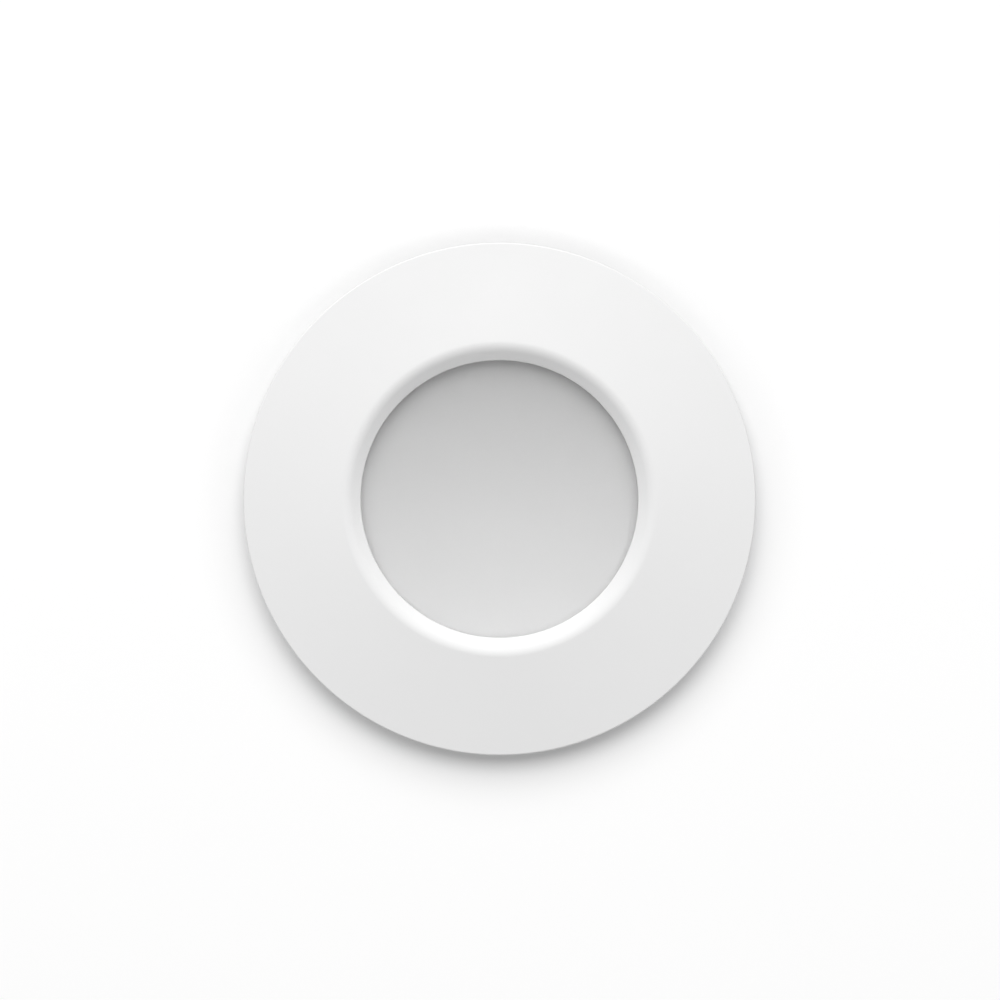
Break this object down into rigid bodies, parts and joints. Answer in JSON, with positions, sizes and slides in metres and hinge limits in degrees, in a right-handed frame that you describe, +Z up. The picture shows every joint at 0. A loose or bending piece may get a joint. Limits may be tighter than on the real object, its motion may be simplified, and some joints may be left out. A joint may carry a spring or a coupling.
{
  "type": "recessed light",
  "caption": "Small round recessed ceiling light: plain white bezel with a dished frosted diffuser, finned can, spring clips and a driver housing with terminals on top.",
  "frame": {"origin": "centre of the ceiling face, the top of the gasket that meets the ceiling board, on the light's axis", "axes": "+Z points up into the ceiling void, -Z is where the light shines, +X runs through the right-hand spring clip, +Y points at the cable entry"},
  "size_m": [0.1264, 0.09, 0.066],
  "materials": {
    "bezel_white": "fine satin powder coat",
    "diffuser_opal": "frosted opal",
    "gasket_foam": "closed-cell foam",
    "seal_silicone": "silicone",
    "ring_white": "moulded",
    "cast_aluminium": "die cast, bead blasted",
    "board_white": "white solder mask",
    "chip_yellow": "phosphor gel",
    "thermal_grey": "gap pad",
    "screw_steel": "zinc plated",
    "lead_insulation": "silicone wire",
    "grommet_rubber": "moulded",
    "clip_steel": "zinc plated strip",
    "spring_steel": "drawn wire",
    "sleeve_vinyl": "soft vinyl",
    "housing_plastic": "fine spark texture",
    "board_green": "solder mask",
    "ferrite": "sintered",
    "winding_tape": "polyester tape",
    "capacitor_sleeve": "shrink sleeve",
    "film_box": "moulded box",
    "chip_black": "moulded epoxy",
    "fuse_glass": "ceramic with plated caps",
    "terminal_grey": "moulded",
    "contact_brass": "tinned",
    "button_orange": "moulded"
  },
  "bodies": {
    "root": {"ceiling_gasket": "gasket_foam", "heat_sink": "cast_aluminium", "lens_ring": "ring_white", "diffuser": "diffuser_opal", "lens_seal": "seal_silicone", "reflector": "ring_white", "led_board": "board_white", "led_chips": "chip_yellow", "thermal_pad": "thermal_grey", "led_board_screws": "screw_steel", "led_leads": "lead_insulation", "wire_grommet": "grommet_rubber", "clip_rivets": "screw_steel", "driver_housing": "housing_plastic", "housing_screws": "screw_steel", "driver_board": "board_green", "transformer_core": "ferrite", "transformer_coil": "winding_tape", "capacitors": "capacitor_sleeve", "film_capacitor": "film_box", "choke": "ferrite", "driver_chips": "chip_black", "fuse": "fuse_glass", "driver_lid": "housing_plastic", "lid_screws": "screw_steel", "terminal_block": "terminal_grey", "terminal_contacts": "contact_brass", "cord_clamp": "housing_plastic", "cord_clamp_screws": "screw_steel", "cover_hinge_pin": "screw_steel", "right_clip_pin": "screw_steel", "left_clip_pin": "screw_steel", "right_clip_bracket": "clip_steel", "left_clip_bracket": "clip_steel", "right_clip_spring": "spring_steel", "left_clip_spring": "spring_steel"},
    "bezel_ring": {"bezel": "bezel_white"},
    "right_clip": {"right_clip_arm": "clip_steel", "right_clip_sleeve": "sleeve_vinyl"},
    "left_clip": {"left_clip_arm": "clip_steel", "left_clip_sleeve": "sleeve_vinyl"},
    "cover": {"terminal_cover": "housing_plastic"},
    "first_button": {"first_release_button": "button_orange"},
    "second_button": {"second_release_button": "button_orange"},
    "third_button": {"third_release_button": "button_orange"}
  },
  "joints": [
    {"name": "bezel_twist", "type": "hinge", "parent": "root", "child": "bezel_ring", "pos_m": [0, 0, 0], "axis": [0, 0, 1], "range_deg": [-22, 0]},
    {"name": "right_clip_hinge", "type": "hinge", "parent": "root", "child": "right_clip", "pos_m": [0.0292, 0, 0.022], "axis": [0, -1, 0], "range_deg": [0, 114], "stiffness_Nm_per_rad": 0.1, "springref_deg": -85.94, "deforming": ["right_clip_spring"]},
    {"name": "left_clip_hinge", "type": "hinge", "parent": "root", "child": "left_clip", "pos_m": [-0.0292, 0, 0.022], "axis": [0, 1, 0], "range_deg": [0, 114], "stiffness_Nm_per_rad": 0.1, "springref_deg": -85.94, "deforming": ["left_clip_spring"]},
    {"name": "cover_hinge", "type": "hinge", "parent": "root", "child": "cover", "pos_m": [0, 0.0106, 0.0576], "axis": [1, 0, 0], "range_deg": [0, 100]},
    {"name": "first_button_press", "type": "slide", "parent": "root", "child": "first_button", "axis": [0, 0, -1], "range_m": [0, 0.0012], "stiffness_N_per_m": 300, "springref_m": -0.004},
    {"name": "second_button_press", "type": "slide", "parent": "root", "child": "second_button", "axis": [0, 0, -1], "range_m": [0, 0.0012], "stiffness_N_per_m": 300, "springref_m": -0.004},
    {"name": "third_button_press", "type": "slide", "parent": "root", "child": "third_button", "axis": [0, 0, -1], "range_m": [0, 0.0012], "stiffness_N_per_m": 300, "springref_m": -0.004}
  ]
}
